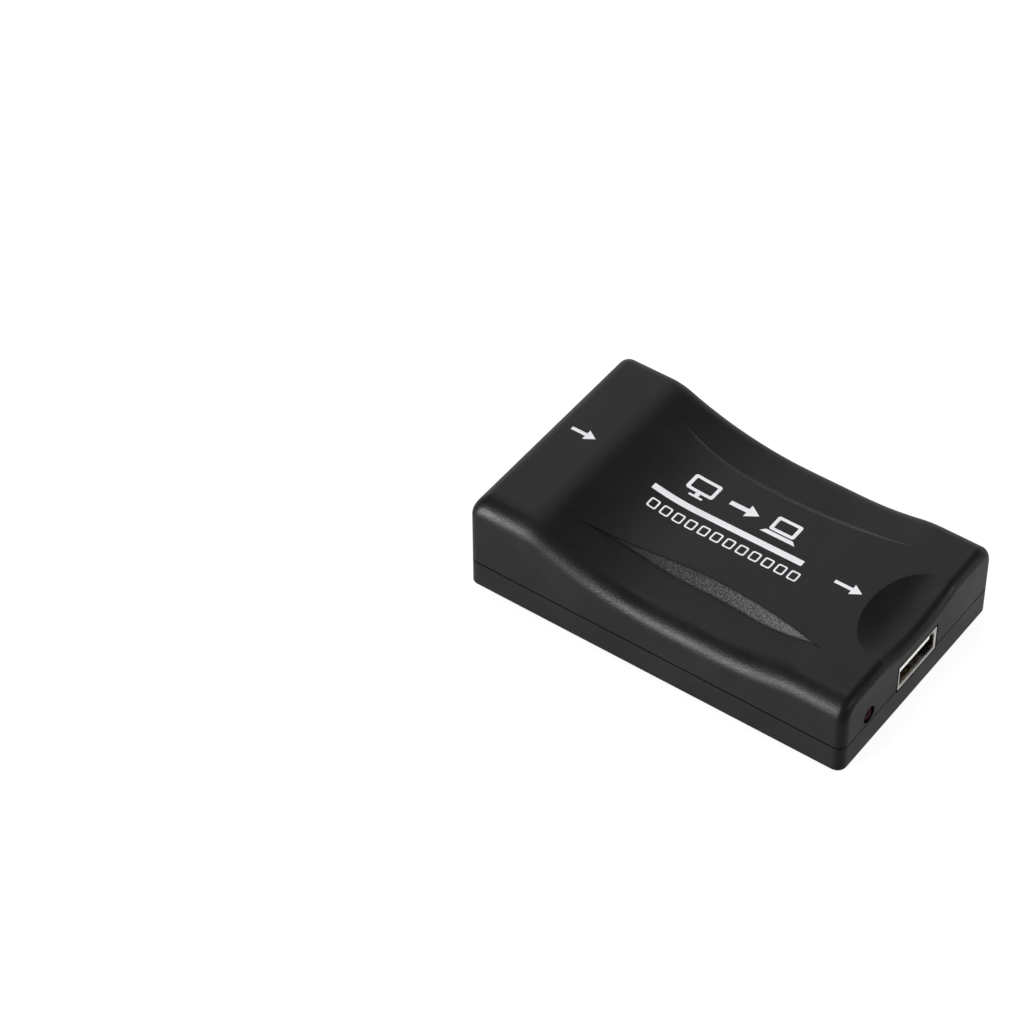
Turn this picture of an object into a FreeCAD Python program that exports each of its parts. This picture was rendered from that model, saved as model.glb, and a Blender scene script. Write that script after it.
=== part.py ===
import FreeCAD, Part
import math
import os
from FreeCAD import Vector

# A small capture box: a two-part moulded case over a circuit board,
# with a 21-way audio and video socket in one end and a USB socket and a lamp in the other.
# Millimetres. X runs from the input end (-) to the output end (+), Z is up,
# and the origin is on the underside, at the middle of the case.

# Case, outside
case_length = 85.4
corner_radius = 2.0
shoulder_radius = 4.6
base_chamfer = 0.6
inside_corner_share = 0.2
parting_height = 6.7
shadow_gap_depth = 0.35
shadow_gap_height = 0.3

# Top of the case, from the input end to the output end
input_top = 23.1
output_top = 18.25
input_flat_length = 12.0
crest_radius = 13.0
hollow_radius = 46.0

# Finger grips along both long sides, lower than the panel between them
grip_floor = 16.3
grip_floor_length = 12.0
grip_rise_length = 18.0
grip_rise_share = 0.7
grip_width = 13.5
panel_waist_radius = 98.0
panel_waist_place = 5.5
facet_slope = 39.0
facet_above = 3.0
facet_below = 5.0
facet_start_gap = 3.0
facet_end_gap = 2.0
waist_stations = 9

# Thumb scoop at the output end: an open trough with a rounded inner end
scoop_half_width = 12.3
scoop_depth = 2.0
scoop_trough_length = 3.1
scoop_end_length = 8.0
scoop_end_turn = 60.0

# Case, inside
wall = 2.0
roof = 2.0
floor = 2.0
lip_thickness = 0.9
lip_height = 1.5
fit_gap = 0.3
cut_past = 1.0
touch = 0.05

# Circuit board
board_thickness = 1.6
board_underside = 4.75
board_side_gap = 0.8
board_socket_gap = 0.5
board_end_gap = 0.8

# Case screws and their bosses
screw_diameter = 2.2
screw_length = 9.0
screw_head_diameter = 4.6
screw_head_height = 1.5
screw_head_seat = 2.3
screw_slot_width = 0.8
screw_slot_length = 2.8
screw_slot_depth = 0.8
post_diameter = 5.6
boss_diameter = 7.2
screw_from_side = 5.4
screw_input_x = -16.5
screw_output_x = 31.5
board_rest_length = 5.0
board_rest_width = 1.4

# 21-way input socket: its ways set its width, and its width sets the width of the case
socket_height_place = 11.2
socket_recess = 0.4
socket_nose_height = 14.2
socket_rim = 1.1
socket_flange_step = 1.3
socket_side_gap = 1.0
socket_flange_height = 16.0
socket_flange_chamfer = 1.2
socket_depth = 16.5
socket_end_margin = 0.35
socket_block_height = 9.2
socket_block_recess = 0.6
socket_corner_cut = 2.4
socket_groove_width = 1.6
socket_groove_depth = 9.0
socket_screen_thickness = 0.3
socket_ways_per_row = 10
socket_pitch = 3.81
socket_row_place = 2.3
socket_slot_width = 1.1
socket_slot_height = 3.2
socket_slot_depth = 10.0
socket_contact_thickness = 0.5
socket_contact_height = 2.6
socket_contact_setback = 1.0
socket_tail_height = 0.8
socket_tail_reach = 1.6
socket_tail_step = 2.6
tail_length_below = 1.4
tail_hole_size = 1.4
cradle_rib_width = 1.6
cradle_rib_spacing = 30.0

# USB socket
port_offset = -0.5
port_width = 13.2
port_height = 5.8
port_depth = 14.0
port_wall = 0.3
port_flare = 0.08
port_flare_length = 0.25
port_window_gap = 0.45
tongue_width = 11.1
tongue_thickness = 1.84
tongue_recess = 0.8
tongue_roof_gap = 0.75
port_block_length = 4.5
port_contact_width = 1.0
port_contact_thickness = 0.3
port_contact_inner = 1.0
port_contact_outer = 3.5
port_contact_setback = 0.8
port_tail_reach = 1.0
port_leg_width = 1.2
port_leg_from_mouth = 5.0
port_leg_spacing = 6.5
port_spring_width = 2.2
port_spring_length = 5.0
port_spring_from_mouth = 2.0
port_spring_slit = 0.4

# Status lamp
lamp_from_side = 9.0
lamp_height = 8.8
lamp_diameter = 3.1
lamp_nose_radius = 2.6
lamp_length = 6.2
lamp_flange_diameter = 3.8
lamp_flange_length = 1.0
lamp_lead_size = 0.5
lamp_lead_pitch = 2.54
lamp_lead_reach = 1.6
lamp_hole_size = 1.1

# Parts on the board: places of their centres, and their sizes.
# A place from a side is X, and how far in from that side of the board.
decoder_place = (-5.0, 5.5)
decoder_size = 10.0
decoder_ways = 44
decoder_pitch = 0.8
decoder_height = 1.4
bridge_place = (15.0, 7.0)
bridge_size = 7.0
bridge_ways = 32
bridge_pitch = 0.8
bridge_height = 0.9
ground_pad_size = 4.2
audio_from_near = (-4.0, 13.1)
audio_size = (9.9, 3.9)
audio_ways = 16
memory_from_near = (17.0, 18.1)
memory_size = (4.9, 3.9)
memory_ways = 8
dual_body_height = 1.5
dual_pitch = 1.27
lead_standoff = 0.1
lead_thickness = 0.2
lead_reach = 1.0
lead_foot = 0.5
fine_lead_width = 0.36
coarse_lead_width = 0.42
chip_taper = 0.12
chip_corner_cut = 0.7
pad_width = 0.4
pad_length = 0.6
pad_thickness = 0.1
regulator_from_near = (25.5, 9.6)
regulator_size = (3.5, 6.5)
regulator_height = 1.6
regulator_ways = 3
regulator_pitch = 2.3
regulator_lead_width = 0.7
regulator_tab_width = 3.0
crystal_from_far = (-5.0, 6.6)
crystal_length = 11.4
crystal_width = 4.7
crystal_height = 3.5
crystal_base_height = 0.5
crystal_base_margin = 0.3
cans_from_near = ((6.0, 6.6), (13.0, 6.6))
can_diameter = 5.0
can_height = 5.4
can_base_size = 5.3
can_base_height = 0.8
can_base_cut = 1.2
chip_part_length = 1.6
chip_part_width = 0.8
chip_part_height = 0.6
chip_part_end = 0.3
chip_part_gap = 1.6
resistor_count = 7
resistor_spacing = 3.8
resistor_gap = 2.4
pull_up_gap = 3.6
pull_up_spacing = 2.4
pull_up_count = 2
ceramics_per_side = 2
bead_length = 2.2
bead_width = 1.25
bead_gap = 4.25
bead_spacing = 2.5
bead_count = 3

# Places worked out from the sizes above
socket_block_width = socket_ways_per_row * socket_pitch + 2 * socket_end_margin
socket_nose_width = socket_block_width + 2 * (socket_groove_width + socket_rim)
socket_flange_width = socket_nose_width + 2 * socket_flange_step
case_width = socket_flange_width + 2 * (wall + socket_side_gap)
half_length = case_length / 2
half_width = case_width / 2
inside_chamfer = (shoulder_radius - wall) * (2 - math.sqrt(2))
panel_half_width = half_width - grip_width
board_top = board_underside + board_thickness
socket_face_x = -half_length + socket_recess
socket_rear_x = socket_face_x + socket_depth
port_mouth_x = half_length
port_rear_x = port_mouth_x - port_depth
port_floor_z = board_top
port_middle_z = port_floor_z + port_height / 2
board_input_x = socket_rear_x + board_socket_gap
board_output_x = half_length - wall - board_end_gap
board_half_width = half_width - wall - board_side_gap
board_pin_end = board_underside - tail_length_below
screw_row_y = half_width - screw_from_side
lamp_offset = lamp_from_side - half_width
screw_places = [(screw_input_x, -screw_row_y), (screw_output_x, screw_row_y)]
board_rest_places = [(screw_input_x, screw_row_y), (screw_output_x, -screw_row_y)]


def from_near(place):
    return place[0], place[1] - board_half_width


def from_far(place):
    return place[0], board_half_width - place[1]


audio_place = from_near(audio_from_near)
memory_place = from_near(memory_from_near)
regulator_place = from_near(regulator_from_near)
crystal_place = from_far(crystal_from_far)
can_places = [from_near(place) for place in cans_from_near]


def box(x0, x1, y0, y1, z0, z1):
    return Part.makeBox(x1 - x0, y1 - y0, z1 - z0, Vector(x0, y0, z0))


def cylinder(radius, x, y, z0, z1):
    return Part.makeCylinder(radius, z1 - z0, Vector(x, y, z0))


def centred(number, count):
    """A count from 0 up, moved so that the whole row is centred on nought."""
    return number - (count - 1) / 2


def closed_outline(points):
    return Part.makePolygon(points + points[:1])


def joined(shapes):
    return shapes[0].multiFuse(shapes[1:]).removeSplitter()


def arc_xz(centre_x, centre_z, radius, start, end):
    angles = (start, (start + end) / 2, end)
    points = [Vector(centre_x + radius * math.cos(a), 0, centre_z + radius * math.sin(a)) for a in angles]
    return Part.Arc(*points).toShape()


def line_xz(x0, z0, x1, z1):
    return Part.makeLine(Vector(x0, 0, z0), Vector(x1, 0, z1))


def rounded_outline(length, width, radius, z):
    inner_x = length / 2 - radius
    inner_y = width / 2 - radius
    centres = ((inner_x, inner_y), (-inner_x, inner_y), (-inner_x, -inner_y), (inner_x, -inner_y))
    arcs = []
    for quarter, (cx, cy) in enumerate(centres):
        turns = [math.pi / 2 * (quarter + part) for part in (0, 0.5, 1)]
        arcs.append([Vector(cx + radius * math.cos(t), cy + radius * math.sin(t), z) for t in turns])
    edges = []
    for quarter in range(4):
        edges.append(Part.Arc(*arcs[quarter]).toShape())
        edges.append(Part.makeLine(arcs[quarter][2], arcs[(quarter + 1) % 4][0]))
    return Part.Wire(edges)


def plan_block(inset, z0, z1):
    """The case's plan as a solid between two heights, drawn in by an inset all round."""
    radius = max(corner_radius - inset, corner_radius * inside_corner_share)
    outline = rounded_outline(case_length - 2 * inset, case_width - 2 * inset, radius, z0)
    return Part.Face(outline).extrude(Vector(0, 0, z1 - z0))


# The top's two side profiles: the panel's, and the lower one of the grips.
# Both share the input flat and the crest arc and leave it at the same slope.
past_end = 5.0
crest_x = -half_length + input_flat_length
fall_angle = math.acos(1 - (input_top - output_top) / (crest_radius + hollow_radius))
fall_x = crest_x + crest_radius * math.sin(fall_angle)
fall_z = input_top - crest_radius * (1 - math.cos(fall_angle))
panel_flat_x = fall_x + hollow_radius * math.sin(fall_angle)
grip_radius = (fall_z - grip_floor) / (1 - math.cos(fall_angle))
grip_flat_x = fall_x + grip_radius * math.sin(fall_angle)
grip_rise_x = grip_flat_x + grip_floor_length
grip_end_x = grip_rise_x + grip_rise_length
rise_angle = 2 * math.atan((output_top - grip_floor) / grip_rise_length)
rise_radius = grip_rise_length / math.sin(rise_angle) * grip_rise_share
brow_radius = grip_rise_length / math.sin(rise_angle) - rise_radius


def input_edges():
    flat = line_xz(-half_length - past_end, input_top, crest_x, input_top)
    crest = arc_xz(crest_x, input_top - crest_radius, crest_radius, math.pi / 2, math.pi / 2 - fall_angle)
    return [flat, crest]


def panel_edges():
    down = -math.pi / 2
    hollow = arc_xz(panel_flat_x, output_top + hollow_radius, hollow_radius, down - fall_angle, down)
    flat = line_xz(panel_flat_x, output_top, half_length + past_end, output_top)
    return input_edges() + [hollow, flat]


def grip_edges():
    down = -math.pi / 2
    up = math.pi / 2
    hollow = arc_xz(grip_flat_x, grip_floor + grip_radius, grip_radius, down - fall_angle, down)
    level = line_xz(grip_flat_x, grip_floor, grip_rise_x, grip_floor)
    rise = arc_xz(grip_rise_x, grip_floor + rise_radius, rise_radius, down, down + rise_angle)
    brow = arc_xz(grip_end_x, output_top - brow_radius, brow_radius, up + rise_angle, up)
    flat = line_xz(grip_end_x, output_top, half_length + past_end, output_top)
    return input_edges() + [hollow, level, rise, brow, flat]


def below_profile(edges):
    """Everything under a side profile, wider than the case."""
    start = edges[0].Vertexes[0].Point
    end = edges[-1].Vertexes[-1].Point
    low = -past_end
    sides = [line_xz(end.x, end.z, end.x, low), line_xz(end.x, low, start.x, low)]
    sides.append(line_xz(start.x, low, start.x, start.z))
    face = Part.Face(Part.Wire(edges + sides))
    solid = face.extrude(Vector(0, case_width + 2 * past_end, 0))
    solid.translate(Vector(0, -half_width - past_end, 0))
    return solid


def panel_height(x):
    if x <= crest_x:
        return input_top
    if x <= fall_x:
        return input_top - crest_radius + math.sqrt(crest_radius ** 2 - (x - crest_x) ** 2)
    if x <= panel_flat_x:
        return output_top + hollow_radius - math.sqrt(hollow_radius ** 2 - (panel_flat_x - x) ** 2)
    return output_top


def panel_zone(inset):
    """The waisted space over the panel, with sides that slope outward and down."""
    run = 1 / math.tan(math.radians(facet_slope))
    start = fall_x - facet_start_gap
    end = grip_end_x + facet_end_gap
    outlines = []
    for station in range(waist_stations):
        x = start + (end - start) * station / (waist_stations - 1)
        z = panel_height(x)
        waist = panel_waist_radius - math.sqrt(panel_waist_radius ** 2 - (x - panel_waist_place) ** 2)
        crest = panel_half_width - inset + waist
        top = crest - facet_above * run
        foot = crest + facet_below * run
        low = z - facet_below
        high = z + facet_above
        corners = [(-foot, low), (foot, low), (top, high), (-top, high)]
        outlines.append(closed_outline([Vector(x, y, height) for y, height in corners]))
    return Part.makeLoft(outlines, True, False)


def scoop_cutter():
    """A large cylinder along X with a rounded inner end, so that the trough fades into the top."""
    radius = (scoop_half_width ** 2 + scoop_depth ** 2) / (2 * scoop_depth)
    end_radius = (scoop_end_length ** 2 + scoop_depth ** 2) / (2 * scoop_depth)
    base = output_top - scoop_depth
    axis = base + radius
    inner = half_length - scoop_trough_length
    outer = half_length + past_end
    down = -math.pi / 2
    rounded = arc_xz(inner, base + end_radius, end_radius, down - math.radians(scoop_end_turn), down)
    tip = rounded.Vertexes[0].Point
    sides = [line_xz(inner, base, outer, base), line_xz(outer, base, outer, axis)]
    sides += [line_xz(outer, axis, tip.x, axis), line_xz(tip.x, axis, tip.x, tip.z)]
    return Part.Face(Part.Wire([rounded] + sides)).revolve(Vector(0, 0, axis), Vector(1, 0, 0), 360)


def edge_middle(edge):
    return edge.valueAt((edge.FirstParameter + edge.LastParameter) / 2)


def is_input_corner(edge):
    """An upright edge at the input end."""
    middle = edge_middle(edge)
    return middle.x < touch - half_length and abs(middle.y) > half_width - touch


def is_shoulder(edge, side, end):
    """An edge between the top and a long side or the input end, or a corner's arc between the two."""
    middle = edge_middle(edge)
    at_side = abs(middle.y) > side - corner_radius / 2 and middle.x < end - touch
    at_input = middle.x < corner_radius / 2 - end
    return (at_side or at_input) and edge.BoundBox.ZMin > parting_height


def is_output_outline(edge):
    """An edge round the output end's face, apart from the one at the base."""
    middle = edge_middle(edge)
    return middle.x > half_length - touch and middle.z > touch


def case_body():
    """The whole case's outside as one solid, before it is parted and hollowed."""
    block = box(-half_length, half_length, -half_width, half_width, 0, input_top + cut_past)
    scoop = scoop_cutter()
    body = block.common(below_profile(grip_edges())).cut(scoop)
    body = body.makeFillet(corner_radius, [edge for edge in body.Edges if is_input_corner(edge)])
    shoulders = [edge for edge in body.Edges if is_shoulder(edge, half_width, half_length)]
    body = body.makeFillet(shoulder_radius, shoulders)
    body = body.makeFillet(corner_radius, [edge for edge in body.Edges if is_output_outline(edge)])
    body = body.makeChamfer(base_chamfer, [edge for edge in body.Edges if edge.BoundBox.ZMax < touch])
    panel = panel_zone(0).common(below_profile(panel_edges())).cut(scoop)
    return body.fuse(panel).removeSplitter()


def case_cavity():
    """The room inside both halves of the case."""
    end = half_length - wall
    side = half_width - wall
    under_grips = below_profile(grip_edges())
    under_grips.translate(Vector(0, 0, -roof))
    room = box(-end, end, -side, side, floor, input_top + cut_past).common(under_grips)
    room = room.makeChamfer(inside_chamfer, [edge for edge in room.Edges if is_shoulder(edge, side, end)])
    under_panel = below_profile(panel_edges())
    under_panel.translate(Vector(0, 0, -roof))
    panel = panel_zone(roof).common(under_panel)
    scoop_start = half_length - scoop_trough_length - scoop_end_length
    ceiling = output_top - scoop_depth - roof
    over_scoop = box(scoop_start, half_length, -scoop_half_width, scoop_half_width, ceiling, input_top)
    return room.fuse(panel).cut(over_scoop).removeSplitter()


def block_outline_yz(width, height, cut, x):
    """The socket's outline: a rectangle with one lower corner cut off."""
    y = width / 2
    low = socket_height_place - height / 2
    high = socket_height_place + height / 2
    corners = [(-y, low), (y - cut, low), (y, low + cut), (y, high), (-y, high)]
    return closed_outline([Vector(x, across, up) for across, up in corners])


def outline_prism(margin, x0, x1):
    """The block's outline grown by a margin and extruded along X."""
    width = socket_block_width + 2 * margin
    height = socket_block_height + 2 * margin
    cut = socket_corner_cut + margin * (2 - math.sqrt(2))
    return Part.Face(block_outline_yz(width, height, cut, x0)).extrude(Vector(x1 - x0, 0, 0))


def socket_window():
    y = socket_nose_width / 2 + fit_gap
    z = socket_nose_height / 2 + fit_gap
    middle = socket_height_place
    x1 = -half_length + wall + cut_past
    return box(-half_length - cut_past, x1, -y, y, middle - z, middle + z)


def port_window():
    y = port_width / 2 + port_flare + port_window_gap
    low = port_floor_z - port_flare - port_window_gap
    high = port_floor_z + port_height + port_flare + port_window_gap
    x0 = half_length - wall - cut_past
    x1 = half_length + cut_past
    return box(x0, x1, port_offset - y, port_offset + y, low, high)


def lamp_window():
    radius = lamp_diameter / 2 + fit_gap
    start = Vector(half_length - wall - cut_past, lamp_offset, lamp_height)
    return Part.makeCylinder(radius, wall + 2 * cut_past, start, Vector(1, 0, 0))


def windows():
    return socket_window().fuse([port_window(), lamp_window()])


def socket_hold_ribs(z0, z1):
    """Two ribs that meet the socket's flange from above or below."""
    x0 = -half_length + wall
    x1 = socket_rear_x
    ribs = []
    for y in (-cradle_rib_spacing / 2, cradle_rib_spacing / 2):
        ribs.append(box(x0, x1, y - cradle_rib_width / 2, y + cradle_rib_width / 2, z0, z1))
    return ribs


def board_rests(z0, z1):
    """Crossed ribs that meet the board where no screw holds it."""
    ribs = []
    for x, y in board_rest_places:
        long = board_rest_length / 2
        short = board_rest_width / 2
        ribs.append(box(x - long, x + long, y - short, y + short, z0, z1))
        ribs.append(box(x - short, x + short, y - long, y + long, z0, z1))
    return ribs


def top_shell(body, cavity):
    upper = plan_block(-cut_past, parting_height, input_top + cut_past)
    shell = body.cut(cavity).common(upper)
    step = plan_block(wall - lip_thickness - fit_gap, parting_height, parting_height + lip_height + fit_gap)
    shell = shell.cut(step)
    posts = [cylinder(post_diameter / 2, x, y, board_top, input_top) for x, y in screw_places]
    flange_top = socket_height_place + socket_flange_height / 2
    posts += socket_hold_ribs(flange_top, input_top) + board_rests(board_top, input_top)
    lowered = body.copy()
    lowered.translate(Vector(0, 0, -roof / 2))
    inside = lowered.common(plan_block(wall - lip_thickness, 0, input_top))
    shell = shell.fuse([post.common(inside) for post in posts])
    pilot = screw_diameter / 2 + fit_gap
    pilot_top = screw_head_seat + screw_length + fit_gap
    holes = [cylinder(pilot, x, y, board_top - cut_past, pilot_top) for x, y in screw_places]
    return shell.cut([windows()] + holes).removeSplitter()


def bottom_shell(body, cavity):
    lower = plan_block(-cut_past, -cut_past, parting_height)
    shell = body.cut(cavity).common(lower)
    groove_base = parting_height - shadow_gap_height
    kept = plan_block(shadow_gap_depth, groove_base, parting_height)
    shell = shell.cut(plan_block(-cut_past, groove_base, parting_height).cut(kept))
    lip_base = parting_height - lip_height
    lip_top = parting_height + lip_height
    lip = plan_block(wall - lip_thickness, lip_base, lip_top).cut(plan_block(wall, lip_base, lip_top))
    inside = body.common(lower)
    bosses = [cylinder(boss_diameter / 2, x, y, floor / 2, board_underside) for x, y in screw_places]
    bosses = [boss.common(inside) for boss in bosses]
    flange_base = socket_height_place - socket_flange_height / 2
    cradle = socket_hold_ribs(floor / 2, flange_base)
    rests = board_rests(floor / 2, board_underside)
    shell = shell.fuse([lip] + bosses + cradle + rests)
    clear = screw_diameter / 2 + fit_gap
    well = screw_head_diameter / 2 + fit_gap
    through = board_underside + cut_past
    holes = [cylinder(clear, x, y, -cut_past, through) for x, y in screw_places]
    holes += [cylinder(well, x, y, -cut_past, screw_head_seat) for x, y in screw_places]
    return shell.cut([windows()] + holes).removeSplitter()


def case_screws():
    screws = []
    for x, y in screw_places:
        head_base = screw_head_seat - screw_head_height
        head = cylinder(screw_head_diameter / 2, x, y, head_base, screw_head_seat)
        shank = cylinder(screw_diameter / 2, x, y, screw_head_seat, screw_head_seat + screw_length)
        arm = screw_slot_length / 2
        slot = screw_slot_width / 2
        low = head_base - cut_past
        high = head_base + screw_slot_depth
        across = box(x - arm, x + arm, y - slot, y + slot, low, high)
        along = box(x - slot, x + slot, y - arm, y + arm, low, high)
        screws.append(head.fuse(shank).cut([across, along]).removeSplitter())
    return Part.makeCompound(screws)


def socket_ways():
    """Each way of the socket: where it is across, its row's height and which row it is in."""
    ways = []
    for row in (0, 1):
        side = 1 if row == 0 else -1
        for way in range(socket_ways_per_row):
            y = centred(way, socket_ways_per_row) * socket_pitch + side * socket_pitch / 4
            ways.append((y, socket_height_place + side * socket_row_place, row))
    return ways


def tail_x(row):
    """Where a row's tails turn down: the upper row reaches further."""
    return socket_rear_x + socket_tail_reach + (socket_tail_step if row == 0 else 0)


def socket_contact(y, z, row):
    """A flat stamped contact: a blade in its slot, a run to the back and a tail down through the board."""
    blade = socket_contact_height / 2
    tail = socket_tail_height / 2
    front = socket_face_x + socket_block_recess + socket_contact_setback
    root = socket_face_x + socket_block_recess + socket_slot_depth
    turn = tail_x(row)
    outline = [
        (front, z - blade), (root, z - blade), (root, z - tail), (turn - tail, z - tail),
        (turn - tail, board_pin_end), (turn + tail, board_pin_end), (turn + tail, z + tail),
        (root, z + tail), (root, z + blade), (front, z + blade),
    ]
    side = y - socket_slot_width / 2
    face = Part.Face(closed_outline([Vector(px, side, pz) for px, pz in outline]))
    return face.extrude(Vector(0, socket_contact_thickness, 0))


def input_socket_contacts():
    return [socket_contact(y, z, row) for y, z, row in socket_ways()]


def input_socket_body(contacts):
    middle = socket_height_place
    wall_inside = -half_length + wall + fit_gap
    nose = socket_nose_width / 2
    rise = socket_nose_height / 2
    body = box(socket_face_x, wall_inside, -nose, nose, middle - rise, middle + rise)
    flange = socket_flange_width / 2
    flange_rise = socket_flange_height / 2
    plate = box(wall_inside, socket_rear_x, -flange, flange, middle - flange_rise, middle + flange_rise)
    front = [edge for edge in plate.Edges if edge.BoundBox.XMax < wall_inside + touch]
    upright = [edge for edge in front if edge.BoundBox.ZLength > flange_rise]
    body = body.fuse(plate.makeChamfer(socket_flange_chamfer, upright))
    groove_end = socket_face_x + socket_groove_depth
    before = socket_face_x - cut_past
    groove = outline_prism(socket_groove_width, before, groove_end)
    groove = groove.cut(outline_prism(0, before, groove_end))
    recess = outline_prism(0, before, socket_face_x + socket_block_recess)
    slots = []
    start = socket_face_x + socket_block_recess
    for y, z, row in socket_ways():
        half = socket_slot_width / 2
        rise = socket_slot_height / 2
        end = start + socket_slot_depth
        slots.append(box(start - cut_past, end, y - half, y + half, z - rise, z + rise))
    return body.cut([groove, recess] + slots).cut(contacts).removeSplitter()


def input_socket_screen():
    """The plated band that lines the groove and meets the plug's shroud."""
    start = socket_face_x + socket_block_recess
    end = socket_face_x + socket_groove_depth
    outer = outline_prism(socket_groove_width, start, end)
    return outer.cut(outline_prism(socket_groove_width - socket_screen_thickness, start, end))


def port_leg_places():
    first = port_mouth_x - port_leg_from_mouth
    return [(x, side) for x in (first, first - port_leg_spacing) for side in (-1, 1)]


def port_box(margin, x0, x1):
    y = port_width / 2 + margin
    low = port_floor_z - margin
    high = port_floor_z + port_height + margin
    return box(x0, x1, port_offset - y, port_offset + y, low, high)


def port_outline(margin, x):
    y = port_width / 2 + margin
    low = port_floor_z - margin
    high = port_floor_z + port_height + margin
    corners = [(-y, low), (y, low), (y, high), (-y, high)]
    return closed_outline([Vector(x, port_offset + across, up) for across, up in corners])


def port_funnel(margin):
    """The mouth's flare, from the straight shell to the open end."""
    small = port_outline(margin, port_mouth_x - port_flare_length)
    large = port_outline(margin + port_flare, port_mouth_x)
    return Part.makeLoft([small, large], True, True)


def port_spring_slits():
    """Slits in the socket's roof, round three sides of each contact spring."""
    slits = []
    slit = port_spring_slit
    for side in (-1, 1):
        y = port_offset + side * port_width / 4
        half = port_spring_width / 2
        x1 = port_mouth_x - port_spring_from_mouth
        x0 = x1 - port_spring_length
        window = box(x0, x1, y - half, y + half, port_middle_z, port_middle_z + port_height)
        finger = box(x0, x1 - slit, y - half + slit, y + half - slit, 0, input_top)
        slits.append(window.cut(finger))
    return slits


def usb_shell():
    start = port_mouth_x - port_flare_length
    outside = port_box(0, port_rear_x, start).fuse(port_funnel(0))
    inside = port_box(-port_wall, port_rear_x - cut_past, start).fuse(port_funnel(-port_wall))
    legs = []
    for x, side in port_leg_places():
        middle = port_offset + side * (port_width - port_wall) / 2
        y0 = middle - port_wall / 2
        half = port_leg_width / 2
        legs.append(box(x - half, x + half, y0, y0 + port_wall, board_pin_end, port_middle_z))
    shell = outside.fuse(legs).cut(inside)
    return shell.cut(port_spring_slits()).removeSplitter()


def tongue_underside():
    return port_floor_z + port_height - port_wall - tongue_roof_gap - tongue_thickness


def port_contact_places():
    return (-port_contact_outer, -port_contact_inner, port_contact_inner, port_contact_outer)


def usb_contacts():
    contacts = []
    high = tongue_underside()
    low = high - port_contact_thickness
    front = port_mouth_x - tongue_recess - port_contact_setback
    turn = port_rear_x - port_tail_reach
    half = port_contact_width / 2
    for place in port_contact_places():
        y = port_offset + place
        thick = port_contact_thickness
        outline = [
            (front, low), (turn, low), (turn, board_pin_end), (turn - thick, board_pin_end),
            (turn - thick, high), (front, high),
        ]
        face = Part.Face(closed_outline([Vector(px, y - half, pz) for px, pz in outline]))
        contacts.append(face.extrude(Vector(0, port_contact_width, 0)))
    return contacts


def usb_insulator(contacts):
    block_front = port_rear_x + port_block_length
    block = port_box(-port_wall, port_rear_x, block_front)
    half = tongue_width / 2
    low = tongue_underside()
    high = low + tongue_thickness
    front = port_mouth_x - tongue_recess
    tongue = box(block_front, front, port_offset - half, port_offset + half, low, high)
    return block.fuse(tongue).cut(contacts).removeSplitter()


def lamp_back_x():
    return half_length - lamp_length


def status_lamp():
    """A lens with a low dome, on a small flange, with its axis along X."""
    along = Vector(1, 0, 0)
    back = lamp_back_x()
    centre = Vector(back, lamp_offset, lamp_height)
    flange = Part.makeCylinder(lamp_flange_diameter / 2, lamp_flange_length, centre, along)
    barrel = Part.makeCylinder(lamp_diameter / 2, lamp_length, centre, along)
    nose = Part.makeSphere(lamp_nose_radius, Vector(half_length - lamp_nose_radius, lamp_offset, lamp_height))
    shank = Part.makeCylinder(lamp_diameter / 2, lamp_length - lamp_nose_radius, centre, along)
    return joined([flange, shank, barrel.common(nose)])


def lamp_lead_places():
    return [lamp_offset - lamp_lead_pitch / 2, lamp_offset + lamp_lead_pitch / 2]


def status_lamp_leads():
    leads = []
    half = lamp_lead_size / 2
    back = lamp_back_x()
    turn = back - lamp_lead_reach
    for y in lamp_lead_places():
        outline = [
            (back, lamp_height - half), (turn + half, lamp_height - half), (turn + half, board_pin_end),
            (turn - half, board_pin_end), (turn - half, lamp_height + half), (back, lamp_height + half),
        ]
        face = Part.Face(closed_outline([Vector(px, y - half, pz) for px, pz in outline]))
        leads.append(face.extrude(Vector(0, lamp_lead_size, 0)))
    return Part.makeCompound(leads)


def square_hole(x, y, size):
    half = size / 2
    low = board_underside - cut_past
    high = board_top + cut_past
    return box(x - half, x + half, y - half, y + half, low, high)


def circuit_board():
    y = board_half_width
    board = box(board_input_x, board_output_x, -y, y, board_underside, board_top)
    low = board_underside - cut_past
    high = board_top + cut_past
    holes = [cylinder(screw_diameter / 2 + fit_gap, x, y, low, high) for x, y in screw_places]
    for y, _, row in socket_ways():
        centre = y - socket_slot_width / 2 + socket_contact_thickness / 2
        holes.append(square_hole(tail_x(row), centre, tail_hole_size))
    turn = port_rear_x - port_tail_reach - port_contact_thickness / 2
    for place in port_contact_places():
        holes.append(square_hole(turn, port_offset + place, port_contact_width + 2 * fit_gap))
    for x, side in port_leg_places():
        middle = port_offset + side * (port_width - port_wall) / 2
        across = port_wall / 2 + fit_gap
        along = port_leg_width / 2 + fit_gap
        holes.append(box(x - along, x + along, middle - across, middle + across, low, high))
    for y in lamp_lead_places():
        holes.append(square_hole(lamp_back_x() - lamp_lead_reach, y, lamp_hole_size))
    return board.cut(holes)


def gull_lead(width, reach, shoulder):
    """A lead that leaves a chip's side at the shoulder, slopes down and ends in a flat foot. Faces +X."""
    thick = lead_thickness
    bend = reach - lead_foot
    outline = [(0, shoulder), (bend, thick), (reach, thick), (reach, 0), (bend - thick, 0)]
    outline.append((0, shoulder - 2 * thick))
    face = Part.Face(closed_outline([Vector(px, -width / 2, pz) for px, pz in outline]))
    return face.extrude(Vector(0, width, 0))


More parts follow.
